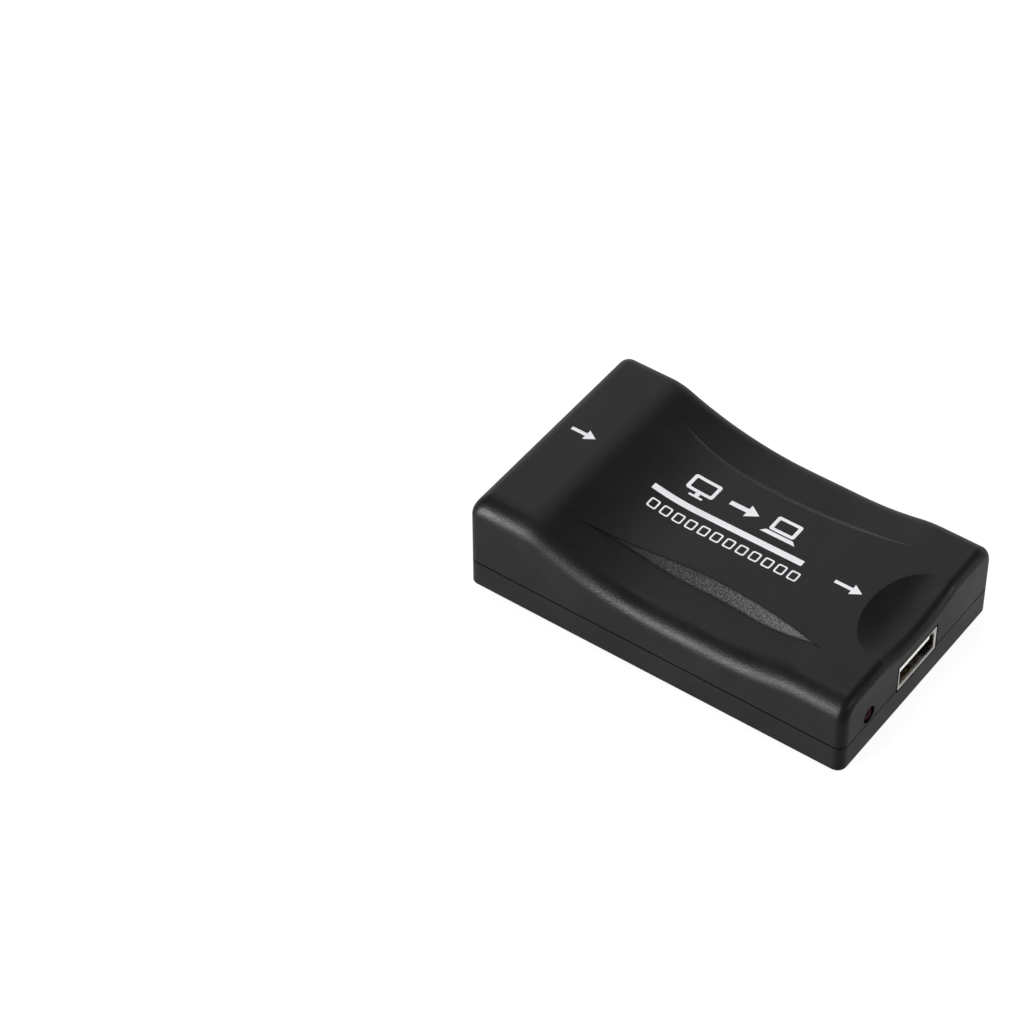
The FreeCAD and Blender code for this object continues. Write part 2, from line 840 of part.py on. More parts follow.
def lead_row(count, pitch, width, body_half, shoulder, turn):
    """A row of leads on one side of a chip, turned about the chip's middle."""
    row = []
    for number in range(count):
        lead = gull_lead(width, lead_reach, shoulder)
        lead.translate(Vector(body_half, centred(number, count) * pitch, 0))
        lead.rotate(Vector(0, 0, 0), Vector(0, 0, 1), turn)
        row.append(lead)
    return row


def placed(shapes, place):
    group = Part.makeCompound(shapes)
    group.translate(Vector(place[0], place[1], board_top))
    return group


def chip_body(length, width, height):
    """A moulded body, tapered above and below its leads, with the first lead's corner cut off."""
    low = lead_standoff
    high = lead_standoff + height
    middle = (low + high) / 2
    sections = []
    for z, shrink in ((low, chip_taper), (middle, 0), (high, chip_taper)):
        x = length / 2 - shrink
        y = width / 2 - shrink
        cut = chip_corner_cut
        corners = [(cut - x, -y), (x, -y), (x, y), (-x, y), (-x, cut - y)]
        sections.append(closed_outline([Vector(px, py, z) for px, py in corners]))
    return Part.makeLoft(sections, True, True)


def video_decoder():
    """A square chip with leads on all four sides."""
    body = chip_body(decoder_size, decoder_size, decoder_height)
    shoulder = lead_standoff + decoder_height / 2 + lead_thickness / 2
    per_side = decoder_ways // 4
    leads = []
    for turn in (0, 90, 180, 270):
        leads += lead_row(per_side, decoder_pitch, fine_lead_width, decoder_size / 2, shoulder, turn)
    return placed([body], decoder_place), placed(leads, decoder_place)


def usb_bridge():
    """A square chip without leads, on a ground pad and a ring of small pads."""
    reach = bridge_size / 2
    body = box(-reach, reach, -reach, reach, pad_thickness, pad_thickness + bridge_height)
    ground = ground_pad_size / 2
    pads = [box(-ground, ground, -ground, ground, 0, pad_thickness)]
    for turn in (0, 90, 180, 270):
        for number in range(bridge_ways // 4):
            middle = centred(number, bridge_ways // 4) * bridge_pitch
            half = pad_width / 2
            pad = box(reach - pad_length, reach, middle - half, middle + half, 0, pad_thickness)
            pad.rotate(Vector(0, 0, 0), Vector(0, 0, 1), turn)
            pads.append(pad)
    return placed([body], bridge_place), placed(pads, bridge_place)


def dual_chip(size, ways, place):
    """A chip with leads on its two long sides. Its length lies along X."""
    body = chip_body(size[0], size[1], dual_body_height)
    shoulder = lead_standoff + dual_body_height / 2 + lead_thickness / 2
    leads = []
    for turn in (90, 270):
        leads += lead_row(ways // 2, dual_pitch, coarse_lead_width, size[1] / 2, shoulder, turn)
    return placed([body], place), placed(leads, place)


def voltage_regulator():
    body = chip_body(regulator_size[0], regulator_size[1], regulator_height)
    shoulder = lead_standoff + regulator_height / 2 + lead_thickness / 2
    reach = regulator_size[0] / 2
    leads = lead_row(regulator_ways, regulator_pitch, regulator_lead_width, reach, shoulder, 0)
    leads += lead_row(1, regulator_pitch, regulator_tab_width, reach, shoulder, 180)
    return placed([body], regulator_place), placed(leads, regulator_place)


def crystal():
    """An oval can on a thin flange."""
    x, y = crystal_place
    side = crystal_width / 2
    straight = (crystal_length - crystal_width) / 2
    low = board_top + crystal_base_height
    high = board_top + crystal_height
    ends = [cylinder(side, x + shift, y, low, high) for shift in (-straight, straight)]
    can = joined([box(x - straight, x + straight, y - side, y + side, low, high)] + ends)
    reach = crystal_length / 2 + crystal_base_margin
    edge = side + crystal_base_margin
    return box(x - reach, x + reach, y - edge, y + edge, board_top, low), can


def electrolytic_capacitors():
    """Round cans, each on a square base with two cut corners."""
    bases = []
    cans = []
    for x, y in can_places:
        half = can_base_size / 2
        cut = can_base_cut
        corners = [(-half, -half), (half - cut, -half), (half, cut - half)]
        corners += [(half, half - cut), (half - cut, half), (-half, half)]
        face = Part.Face(closed_outline([Vector(x + px, y + py, board_top) for px, py in corners]))
        bases.append(face.extrude(Vector(0, 0, can_base_height)))
        cans.append(cylinder(can_diameter / 2, x, y, board_top + can_base_height, board_top + can_height))
    return Part.makeCompound(bases), Part.makeCompound(cans)


def chip_parts(places, length, width):
    """Small two-ended parts: bodies and plated ends. A place is x, y and whether it lies along X."""
    bodies = []
    ends = []
    for x, y, along_x in places:
        half = length / 2
        side = width / 2
        top = board_top + chip_part_height
        inner = half - chip_part_end
        for number, (start, end) in enumerate([(-inner, inner), (-half, -inner), (inner, half)]):
            if along_x:
                piece = box(x + start, x + end, y - side, y + side, board_top, top)
            else:
                piece = box(x - side, x + side, y + start, y + end, board_top, top)
            (bodies if number == 0 else ends).append(piece)
    return Part.makeCompound(bodies), Part.makeCompound(ends)


def resistor_places():
    """Termination resistors in a row behind the input socket, and two behind the USB socket."""
    row_x = tail_x(0) + resistor_gap
    port_x = port_rear_x - pull_up_gap
    row = [centred(number, resistor_count) * resistor_spacing for number in range(resistor_count)]
    pull_ups = [centred(number, pull_up_count) * pull_up_spacing for number in range(pull_up_count)]
    return [(row_x, y, True) for y in row] + [(port_x, port_offset + y, True) for y in pull_ups]


def ceramic_places():
    """Decoupling capacitors beside two sides of each of the two large chips."""
    places = []
    for (x, y), size in ((decoder_place, decoder_size), (bridge_place, bridge_size)):
        edge = size / 2 + lead_reach + chip_part_gap
        for number in range(ceramics_per_side):
            along = centred(number, ceramics_per_side) * size / ceramics_per_side
            places.append((x + along, y - edge, True))
            places.append((x + edge, y + along, False))
    return places


def bead_places():
    """Ferrite beads in a column beside the regulator."""
    x = regulator_place[0] - regulator_size[0] / 2 - bead_gap
    steps = [centred(number, bead_count) * bead_spacing for number in range(bead_count)]
    return [(x, regulator_place[1] + step, True) for step in steps]


def build():
    body = case_body()
    cavity = case_cavity()
    ways = input_socket_contacts()
    port_ways = usb_contacts()
    nodes = {
        "top_shell": top_shell(body, cavity),
        "bottom_shell": bottom_shell(body, cavity),
        "case_screws": case_screws(),
        "circuit_board": circuit_board(),
        "input_socket_body": input_socket_body(ways),
        "input_socket_contacts_upper": Part.makeCompound(ways[:socket_ways_per_row]),
        "input_socket_contacts_lower": Part.makeCompound(ways[socket_ways_per_row:]),
        "input_socket_screen": input_socket_screen(),
        "usb_shell": usb_shell(),
        "usb_insulator": usb_insulator(port_ways),
        "usb_contacts": Part.makeCompound(port_ways),
        "status_lamp": status_lamp(),
        "status_lamp_leads": status_lamp_leads(),
    }
    nodes["decoder_chip"], nodes["decoder_leads"] = video_decoder()
    nodes["bridge_chip"], nodes["bridge_pads"] = usb_bridge()
    nodes["audio_chip"], nodes["audio_leads"] = dual_chip(audio_size, audio_ways, audio_place)
    nodes["memory_chip"], nodes["memory_leads"] = dual_chip(memory_size, memory_ways, memory_place)
    nodes["voltage_regulator"], nodes["regulator_leads"] = voltage_regulator()
    nodes["crystal_base"], nodes["crystal_can"] = crystal()
    nodes["capacitor_bases"], nodes["capacitor_cans"] = electrolytic_capacitors()
    small = (chip_part_length, chip_part_width)
    nodes["chip_resistors"], nodes["resistor_ends"] = chip_parts(resistor_places(), *small)
    nodes["ceramic_capacitors"], nodes["ceramic_ends"] = chip_parts(ceramic_places(), *small)
    nodes["ferrite_beads"], nodes["bead_ends"] = chip_parts(bead_places(), bead_length, bead_width)
    return nodes


os.makedirs("parts", exist_ok=True)
for name, shape in build().items():
    shape.exportStep("parts/" + name + ".step")
    print(name, len(shape.Solids), shape.isValid(), round(shape.Volume, 1))
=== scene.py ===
import math
import bmesh
import bpy
from mathutils import Matrix, Vector
from mathutils.geometry import tessellate_polygon


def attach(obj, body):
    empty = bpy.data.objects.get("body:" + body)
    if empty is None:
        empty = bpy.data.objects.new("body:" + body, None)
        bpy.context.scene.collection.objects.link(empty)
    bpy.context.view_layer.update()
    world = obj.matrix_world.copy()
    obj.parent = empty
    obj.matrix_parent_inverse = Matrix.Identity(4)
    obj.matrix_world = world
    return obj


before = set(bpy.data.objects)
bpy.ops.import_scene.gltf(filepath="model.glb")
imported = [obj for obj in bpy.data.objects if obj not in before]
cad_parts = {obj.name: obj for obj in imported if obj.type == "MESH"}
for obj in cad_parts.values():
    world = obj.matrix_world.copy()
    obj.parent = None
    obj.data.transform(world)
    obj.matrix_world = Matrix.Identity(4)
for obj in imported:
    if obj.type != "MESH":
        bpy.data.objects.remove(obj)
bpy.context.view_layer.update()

# The look of a small moulded capture box: satin black plastic with a fine grain, rougher finger
# grips, white print in generic marks, a plated USB socket and a dark red lamp.
# Lengths are in metres; MM turns the millimetres of the model into them. X runs from the input
# end to the output end, the near long side is at -Y, and the box stands on Z = 0.

MM = 0.001
white = (1.0, 1.0, 1.0, 1.0)
black = (0.0, 0.0, 0.0, 1.0)


# Camera, at the photograph's viewing angle

camera_azimuth = math.radians(36.204)
camera_elevation = math.radians(45.123)
camera_roll = math.radians(-0.359)
camera_offset = (41.724 * MM, -16.019 * MM, -718.162 * MM)
camera_nearest = 10.0 * MM
focal_pixels = 3700.0
picture_pixels = 1024.0
sensor_width = 36.0


def make_camera():
    """The camera, looking down on the output end and the near long side."""
    flat = math.cos(camera_elevation)
    back = Vector((math.sin(camera_azimuth) * flat, -math.cos(camera_azimuth) * flat,
                   math.sin(camera_elevation)))
    level = Vector((math.cos(camera_azimuth), math.sin(camera_azimuth), 0.0))
    rise = back.cross(level)
    right = level * math.cos(camera_roll) + rise * math.sin(camera_roll)
    up = rise * math.cos(camera_roll) - level * math.sin(camera_roll)
    centre = -(right * camera_offset[0] + up * camera_offset[1] + back * camera_offset[2])
    data = bpy.data.cameras.new("camera")
    data.sensor_width = sensor_width
    data.lens = focal_pixels / picture_pixels * sensor_width
    data.clip_start = camera_nearest
    camera = bpy.data.objects.new("camera", data)
    camera.matrix_world = Matrix((
        (right.x, up.x, back.x, centre.x),
        (right.y, up.y, back.y, centre.y),
        (right.z, up.z, back.z, centre.z),
        (0.0, 0.0, 0.0, 1.0),
    ))
    bpy.context.scene.collection.objects.link(camera)
    bpy.context.scene.camera = camera


# Node materials

noise_roughness = 0.6
shift_ways = (1.0, 0.7, 0.4)
detailed = 3.0
mix_sockets = (0, 6, 7)
mix_output = 2


def new_tree(name):
    """An empty node material and its tree."""
    made = bpy.data.materials.new(name)
    made.use_nodes = True
    made.node_tree.nodes.clear()
    return made, made.node_tree


def fill(tree, socket, value):
    """Links an output to a socket, or sets the socket to a value."""
    if isinstance(value, bpy.types.NodeSocket):
        tree.links.new(value, socket)
    else:
        socket.default_value = value


def put(tree, kind, settings=None, *placed, **named):
    """A node with its settings, and its sockets filled by place or by name."""
    node = tree.nodes.new(kind)
    for key, value in (settings or {}).items():
        setattr(node, key, value)
    for place, value in enumerate(placed):
        fill(tree, node.inputs[place], value)
    for key, value in named.items():
        fill(tree, node.inputs[key.replace("_", " ")], value)
    return node


def maths(tree, operation, *values):
    """A number worked out from one or two others."""
    return put(tree, "ShaderNodeMath", {"operation": operation}, *values).outputs[0]


def product(tree, first, *others):
    """Several numbers multiplied."""
    for value in others:
        first = maths(tree, "MULTIPLY", first, value)
    return first


def one_less(tree, value):
    """One, less a number."""
    return maths(tree, "SUBTRACT", 1.0, value)


def mixed(tree, first, second, share):
    """Two numbers mixed, with this share of the second."""
    return maths(tree, "ADD", product(tree, first, 1.0 - share), product(tree, second, share))


def apart(tree, vector):
    """The three numbers of a vector."""
    return tuple(put(tree, "ShaderNodeSeparateXYZ", None, vector).outputs)


def noise(tree, place, size, detail=2.0, shift=0.0):
    """A soft random pattern with features of about this size, shifted off the other patterns."""
    moved = put(tree, "ShaderNodeMapping", None, place, tuple(shift * way for way in shift_ways))
    made = put(tree, "ShaderNodeTexNoise", None, Vector=moved.outputs[0], Scale=1.0 / size,
               Detail=detail, Roughness=noise_roughness)
    return made.outputs["Fac"]


def cells(tree, place, size, feature="F1"):
    """The distance to the nearest of scattered points, or to the border between them."""
    made = put(tree, "ShaderNodeTexVoronoi", {"feature": feature}, Vector=place, Scale=1.0 / size)
    return made.outputs["Distance"]


def spread(tree, value, start, end, low, high):
    """A value carried from one range to another, and held at its ends."""
    return put(tree, "ShaderNodeMapRange", None, value, start, end, low, high).outputs[0]


def tint(tree, value, *stops):
    """A colour picked by a value from stops of a place and a colour."""
    ramp = put(tree, "ShaderNodeValToRGB", None, value)
    parts = ramp.color_ramp.elements
    while len(parts) < len(stops):
        parts.new(0.5)  # every stop is moved to its place below
    for part, (position, colour) in zip(parts, stops):
        part.position = position
        part.color = (*colour, 1.0)
    return ramp.outputs[0]


def blend_colour(tree, share, first, second):
    """Two colours mixed by a share."""
    made = put(tree, "ShaderNodeMix", {"data_type": "RGBA"})
    for place, value in zip(mix_sockets, (share, first, second)):
        fill(tree, made.inputs[place], value)
    return made.outputs[mix_output]


def bump(tree, height, depth, under=None):
    """A relief of this depth, laid over another one."""
    made = put(tree, "ShaderNodeBump", None, Height=height, Distance=depth, Strength=1.0)
    if under is not None:
        tree.links.new(under, made.inputs["Normal"])
    return made.outputs[0]


def close(tree, **sockets):
    """The shader and the output of a material."""
    shader = put(tree, "ShaderNodeBsdfPrincipled", None, **sockets)
    put(tree, "ShaderNodeOutputMaterial", None, Surface=shader.outputs[0])


# Most of a noise pattern lies in the wider span, and its middle in the narrower one.

wide_span = (0.30, 0.70)
middle_span = (0.35, 0.65)

# Case plastic: the colour, the grain and the finger grips

case_dark = (0.0034, 0.0030, 0.0034)
case_pale = (0.0052, 0.0047, 0.0053)
case_drift = 14.0 * MM
case_gloss = (0.36, 0.44)
case_grain = 0.36 * MM
case_specular = 0.18

speck_colour = (0.10, 0.10, 0.10, 1.0)
speck_spacing = 2.6 * MM
speck_reach = 0.05
speck_share = 0.15

grip_reach = (31.0 * MM, 20.5 * MM)
grip_lowest = 14.0 * MM
grip_tilt = 0.4
# The grip facets are painted a paler grey in a fine sparkle, a painted sheen of glints on their
# rough texture, darker toward the input end and paler toward the output end.
grip_sheen_stops = ((0.40, (0.010, 0.010, 0.011)), (0.64, (0.090, 0.090, 0.093)))
grip_sparkle = 0.20 * MM
grip_pebble = 0.30 * MM
grip_relief = 0.05 * MM
grip_rougher = 0.14
grip_sheen_ramp_x = (-14.0 * MM, 24.0 * MM)
grip_sheen_ramp = (-0.17, 0.045)

# Rounded parts of the case are a little rougher and more deeply grained. Their measure is 0 on
# level and upright faces, and 1 where the upward part of the normal is a half.

rounded_scale = 4.0
rounded_rougher = 0.03
rounded_span = (0.3, 1.0)
rounded_grain = (0.040 * MM, 0.070 * MM)
# Painted reflection tint: the reflection is tinted slightly pink on level faces and neutral on
# rounded ones.
level_hue = (1.0, 0.94, 1.0, 1.0)
rounded_hue = (0.98, 1.0, 1.0, 1.0)

# Edges of the upper shell look rounded by edge_ease. Beside the grips, the borders and creases are
# where a normal that is smoothed over line_ease turns away from the true one, from the first to the
# second cosine. The far grip's inner line is the one within a bowed line along the panel.

ease_above = 9.0 * MM
edge_ease = 0.25 * MM
edge_samples = 6
line_ease = 0.90 * MM
line_samples = 8
border_bend = (0.996, 0.984)
crease_bend = (0.985, 0.962)
# Painted shade: the near grip's borders are darkened to the case's darkest colour.
border_shade_colour = (*case_dark, 1.0)
border_shade_share = 0.95
# Painted highlight: the far grip's inner crease is painted a paler grey.
crease_highlight_colour = (0.075, 0.075, 0.078, 1.0)
crease_highlight_share = 0.8
grip_middle_x = 5.2 * MM
grip_middle_y = 14.3 * MM
grip_bow = 3.0

# Painted shade in the reflection: shine that is taken away in the creases, on the upright corners
# and on the output end, where it comes back from the near side to the far one

crease_painted_shade = 0.85
corner_painted_shade = 1.5
end_painted_shade = 0.90
end_painted_shade_y = (-26.0 * MM, 20.0 * MM)


def grip_zones(tree, place, facing):
    """The area that holds both finger grips, and their slanted facets in it."""
    x, y, z = place
    near_middle = maths(tree, "LESS_THAN", maths(tree, "ABSOLUTE", y), grip_reach[1])
    off_ends = maths(tree, "LESS_THAN", maths(tree, "ABSOLUTE", x), grip_reach[0])
    above = maths(tree, "GREATER_THAN", z, grip_lowest)
    area = product(tree, near_middle, off_ends, above)
    tilted = maths(tree, "GREATER_THAN", maths(tree, "ABSOLUTE", facing[1]), grip_tilt)
    return area, product(tree, area, tilted)


def grip_lines(tree, place, area, upper):
    """The near grip's borders and creases, and the inner crease of the far grip: masks for painted
    shade and a painted highlight.
    """
    x, y, _ = place
    smooth = put(tree, "ShaderNodeBevel", {"samples": line_samples},
                 product(tree, upper, line_ease)).outputs[0]
    true = put(tree, "ShaderNodeNewGeometry").outputs["Normal"]
    alike = put(tree, "ShaderNodeVectorMath", {"operation": "DOT_PRODUCT"}, smooth,
                true).outputs["Value"]
    border = product(tree, spread(tree, alike, *border_bend, 0.0, 1.0), area)
    crease = product(tree, spread(tree, alike, *crease_bend, 0.0, 1.0), area)
    far_side = maths(tree, "GREATER_THAN", y, 0.0)
    near_side = one_less(tree, far_side)
    beside = maths(tree, "SUBTRACT", x, grip_middle_x)
    bowed = maths(tree, "ADD", product(tree, beside, beside, grip_bow), grip_middle_y)
    inner = maths(tree, "LESS_THAN", maths(tree, "ABSOLUTE", y), bowed)
    return (product(tree, border, near_side), product(tree, crease, near_side),
            product(tree, crease, far_side, inner))


def case_shine(tree, place, facing, crease):
    """One, less in the creases, on the upright corners and at the output end's near side: painted
    shade in the reflection.
    """
    upright = maths(tree, "ABSOLUTE", product(tree, facing[0], facing[1]))
    endwise = maths(tree, "MAXIMUM", facing[0], 0.0)
    end_painted_shade_mask = product(tree, endwise, spread(tree, place[1], *end_painted_shade_y, end_painted_shade, 0.0))
    return product(tree, one_less(tree, product(tree, crease, crease_painted_shade)),
                   one_less(tree, product(tree, upright, corner_painted_shade)), one_less(tree, end_painted_shade_mask))


def case_plastic():
    """Satin black and finely grained, with rougher grips painted paler as a sheen, inside a painted
    dark shade line on the near side, and a painted highlight on the far grip's inner crease.
    """
    made, tree = new_tree("satin_black_case")
    here = put(tree, "ShaderNodeTexCoord")
    point = here.outputs["Object"]
    place = apart(tree, point)
    facing = apart(tree, here.outputs["Normal"])
    area, grip = grip_zones(tree, place, facing)
    upper = maths(tree, "GREATER_THAN", place[2], ease_above)
    border, crease, wear_and_crease_highlight = grip_lines(tree, place, area, upper)
    upward = maths(tree, "ABSOLUTE", facing[2])
    rounded = product(tree, upward, rounded_scale, one_less(tree, upward))

    drift = noise(tree, point, case_drift, detailed)
    plain = tint(tree, drift, (middle_span[0], case_dark), (middle_span[1], case_pale))
    # Painted sheen: the grip facets get a pale sparkle in their colour, paler toward the output
    # end.
    sparkle = noise(tree, point, grip_sparkle, shift=0.8)
    painted_sheen_ramp = spread(tree, place[0], *grip_sheen_ramp_x, *grip_sheen_ramp)
    gritty_painted_sheen = tint(tree, maths(tree, "ADD", sparkle, painted_sheen_ramp), *grip_sheen_stops)
    speck = maths(tree, "LESS_THAN", cells(tree, point, speck_spacing), speck_reach)
    colour = blend_colour(tree, grip, plain, gritty_painted_sheen)
    colour = blend_colour(tree, product(tree, speck, speck_share), colour, speck_colour)
    # Painted shade along the near grip's borders
    colour = blend_colour(tree, product(tree, border, border_shade_share), colour, border_shade_colour)
    # Painted highlight along the far grip's inner crease
    colour = blend_colour(tree, product(tree, wear_and_crease_highlight, crease_highlight_share), colour, crease_highlight_colour)

    gloss = spread(tree, drift, *middle_span, *case_gloss)
    gloss = maths(tree, "ADD", gloss, product(tree, rounded, rounded_rougher))
    gloss = maths(tree, "ADD", gloss, product(tree, grip, grip_rougher))
    # The reflection's tint is painted by facing, and painted shade takes shine away in creases, on
    # upright corners and at the output end's near side.
    hue = blend_colour(tree, rounded, level_hue, rounded_hue)
    hue = blend_colour(tree, case_shine(tree, place, facing, crease), black, hue)

    eased = put(tree, "ShaderNodeBevel", {"samples": edge_samples}, product(tree, upper, edge_ease))
    grain = noise(tree, point, case_grain, shift=0.3)
    fine = bump(tree, grain, spread(tree, rounded, *rounded_span, *rounded_grain),
                eased.outputs[0])
    pebble = product(tree, cells(tree, point, grip_pebble), grip)
    close(tree, Base_Color=colour, Roughness=gloss, Normal=bump(tree, pebble, grip_relief, fine),
          Specular_IOR_Level=case_specular, Specular_Tint=hue)
    return made


# Other plastics and metals, each from the same plan: a name, the dark and the pale colour, the
# range of roughness, and sizes in millimetres

fine_share = 0.3
drawn_stretch = 0.06
drawn_span = (0.38, 0.62)
cloud_size = 1.8 * MM
cloud_share = 0.5
mouth_shade = (0.034, 0.019, 0.012, 1.0)
mouth_share = 0.75
mouth_from = 0.9
mouth_to = 0.3

# Slot: name, dark, pale, roughness, grain, depth of the grain, drift, and metal or not
plain_finishes = {
    "socket_plastic": ("black_socket_plastic", (0.008, 0.008, 0.009), (0.020, 0.020, 0.021),
                       (0.30, 0.42), 0.25, 0.010, 8.0),
    "tongue_plastic": ("white_tongue_plastic", (0.66, 0.65, 0.62), (0.80, 0.79, 0.76),
                       (0.32, 0.46), 0.20, 0.008, 3.0),
    "chip_plastic": ("matt_chip_epoxy", (0.012, 0.012, 0.013), (0.026, 0.026, 0.028),
                     (0.52, 0.66), 0.10, 0.012, 2.0),
    "tinned_lead": ("tinned_lead", (0.50, 0.50, 0.50), (0.72, 0.72, 0.71),
                    (0.28, 0.44), 0.20, 0.006, 1.0, 1.0),
    "resistor_body": ("resistor_glaze", (0.010, 0.011, 0.016), (0.022, 0.024, 0.034),
                      (0.25, 0.38), 0.15, 0.006, 1.0),
    "ceramic_body": ("tan_ceramic", (0.26, 0.16, 0.085), (0.38, 0.25, 0.14),
                     (0.42, 0.56), 0.12, 0.008, 1.0),
    "ferrite_body": ("grey_ferrite", (0.045, 0.043, 0.042), (0.080, 0.077, 0.074),
                     (0.48, 0.62), 0.12, 0.010, 1.0),
}

# Slot: name, dark, pale, roughness, width of a line, its depth, the axis of the lines, and the
# place along X of a mouth
drawn_finishes = {
    "screw_steel": ("zinc_screw_steel", (0.32, 0.32, 0.33), (0.55, 0.55, 0.56),
                    (0.28, 0.45), 0.15, 0.006, 2),
    "plated_contact": ("gold_plated_contact", (0.62, 0.40, 0.13), (0.86, 0.62, 0.26),
                       (0.18, 0.32), 0.10, 0.003, 0),
    "plated_shell": ("nickel_plated_shell", (0.62, 0.61, 0.60), (0.88, 0.87, 0.85),
                     (0.14, 0.30), 0.14, 0.004, 0, 42.7),
    "can_metal": ("brushed_aluminium_can", (0.60, 0.60, 0.61), (0.82, 0.82, 0.83),
                  (0.24, 0.38), 0.12, 0.005, 2),
}


def plain_finish(name, dark, pale, rough, grain, depth, drift, metallic=0.0):
    """A finish with slow changes of colour and gloss, and a fine grain."""
    made, tree = new_tree(name)
    place = put(tree, "ShaderNodeTexCoord").outputs["Object"]
    slow = noise(tree, place, drift * MM, detailed)
    quick = noise(tree, place, grain * MM, shift=0.2)
    mottle = mixed(tree, slow, quick, fine_share)
    close(tree, Base_Color=tint(tree, mottle, (middle_span[0], dark), (middle_span[1], pale)),
          Metallic=metallic, Roughness=spread(tree, mottle, *middle_span, *rough),
          Normal=bump(tree, quick, depth * MM))
    return made


def drawn_metal(name, dark, pale, rough, line, depth, direction, mouth=None):
    """Sheet with fine drawn lines and brighter spots of wear, darker behind a mouth if it has one.
    """
    made, tree = new_tree(name)
    place = put(tree, "ShaderNodeTexCoord").outputs["Object"]
    stretch = tuple(drawn_stretch if axis == direction else 1.0 for axis in range(3))
    lines = put(tree, "ShaderNodeMapping", None, place, (0.0, 0.0, 0.0), (0.0, 0.0, 0.0), stretch)
    drawn = noise(tree, lines.outputs[0], line * MM, detailed)
    cloud = noise(tree, place, cloud_size, detailed, 0.5)
    wear_and_crease_highlight = mixed(tree, drawn, cloud, cloud_share)
    colour = tint(tree, wear_and_crease_highlight, (drawn_span[0], dark), (drawn_span[1], pale))
    if mouth is not None:
        inner = spread(tree, apart(tree, place)[0], (mouth - mouth_from) * MM,
                       (mouth - mouth_to) * MM, mouth_share, 0.0)
        colour = blend_colour(tree, inner, colour, mouth_shade)
    close(tree, Base_Color=colour, Metallic=1.0, Roughness=spread(tree, cloud, *wide_span, *rough),
          Normal=bump(tree, drawn, depth * MM))
    return made


# Circuit board, lamp and ink

mask_stops = ((0.35, (0.010, 0.070, 0.028)), (0.65, (0.016, 0.110, 0.042)))
mask_drift = 6.0 * MM
run_colour = (0.05, 0.20, 0.06, 1.0)
run_spacing = 3.2 * MM
run_width = 0.06
run_share = 0.6
run_height = 0.03 * MM
weave_scale = 450.0
weave_depth = 0.004 * MM
board_cloud = 0.8 * MM
board_gloss = (0.28, 0.42)

lens_stops = ((0.10, (0.001, 0.0005, 0.0005)), (0.24, (0.006, 0.001, 0.0015)),
              (0.44, (0.040, 0.003, 0.005)))
lens_fleck = 0.9 * MM
lens_cloud = 0.5 * MM
lens_gloss = (0.30, 0.50)
lens_relief = 0.10 * MM
lens_specular = 0.02

ink_stops = ((0.32, (0.66, 0.66, 0.68)), (0.48, (0.82, 0.82, 0.85)))
ink_pinhole = 0.25 * MM
ink_dirt = 5.0 * MM
ink_dirt_share = 0.4
ink_gloss = (0.45, 0.60)
ink_relief = 0.008 * MM


def board_laminate():
    """Green solder mask over copper runs, with the weave of the laminate under it."""
    made, tree = new_tree("green_circuit_board")
    place = put(tree, "ShaderNodeTexCoord").outputs["Object"]
    weave = put(tree, "ShaderNodeTexWave", {"wave_type": "BANDS", "bands_direction": "X"},
                Vector=place, Scale=weave_scale, Distortion=1.5, Detail=1.0)
    borders = cells(tree, place, run_spacing, "DISTANCE_TO_EDGE")
    runs = maths(tree, "LESS_THAN", borders, run_width)
    mask = tint(tree, noise(tree, place, mask_drift), *mask_stops)
    colour = blend_colour(tree, product(tree, runs, run_share), mask, run_colour)
    relief = bump(tree, runs, run_height, bump(tree, weave.outputs["Fac"], weave_depth))
    cloud = noise(tree, place, board_cloud, shift=0.4)
    close(tree, Base_Color=colour, Roughness=spread(tree, cloud, *wide_span, *board_gloss),
          Normal=relief)
    return made


def lamp_lens():
    """Dark red resin with the darker parts of the lamp showing through as flecks."""
    made, tree = new_tree("dark_red_lens")
    place = put(tree, "ShaderNodeTexCoord").outputs["Object"]
    cloud = noise(tree, place, lens_cloud, detailed, 0.1)
    flecks = product(tree, cells(tree, place, lens_fleck), cloud)
    close(tree, Base_Color=tint(tree, flecks, *lens_stops),
          Roughness=spread(tree, cloud, *wide_span, *lens_gloss),
          Normal=bump(tree, cloud, lens_relief), Specular_IOR_Level=lens_specular)
    return made


def print_ink():
    """White ink, slightly uneven and matt, with pinholes and soft dirt."""
    made, tree = new_tree("white_ink")
    place = put(tree, "ShaderNodeTexCoord").outputs["Object"]
    cover = noise(tree, place, ink_pinhole, detailed)
    dirt = noise(tree, place, ink_dirt, detailed, 0.6)
    close(tree, Base_Color=tint(tree, mixed(tree, cover, dirt, ink_dirt_share), *ink_stops),
          Roughness=spread(tree, cover, *wide_span, *ink_gloss),
          Normal=bump(tree, cover, ink_relief))
    return made


def dress_nodes():
    """Gives every solid of the model its finish, by the name of its slot."""
    finishes = {slot: plain_finish(*row) for slot, row in plain_finishes.items()}
    finishes.update({slot: drawn_metal(*row) for slot, row in drawn_finishes.items()})
    finishes["case_plastic"] = case_plastic()
    finishes["board_laminate"] = board_laminate()
    finishes["lamp_lens"] = lamp_lens()
    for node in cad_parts.values():
        for place in node.material_slots:
            place.material = finishes[place.material.name.split(".")[0]]


# White print on the panel: a bar with plain pictograms over it and film frames under it, and an
# arrow at each end. Places and sizes are in millimetres.

ink_thickness = 0.015 * MM
ink_step = 0.8 * MM
ink_drop = 50.0 * MM
round_steps = 5

bar_box = (-17.9, -0.60, 16.3, 0.86)
bar_round = 0.2
picture_line = 0.75
screen_middle = (-10.2, 6.3)
screen_size = (6.2, 4.2)
screen_rounds = (0.6, 0.25)
laptop_middle = (8.6, 6.3)
laptop_size = (5.6, 4.0)
laptop_rounds = (0.5, 0.2)

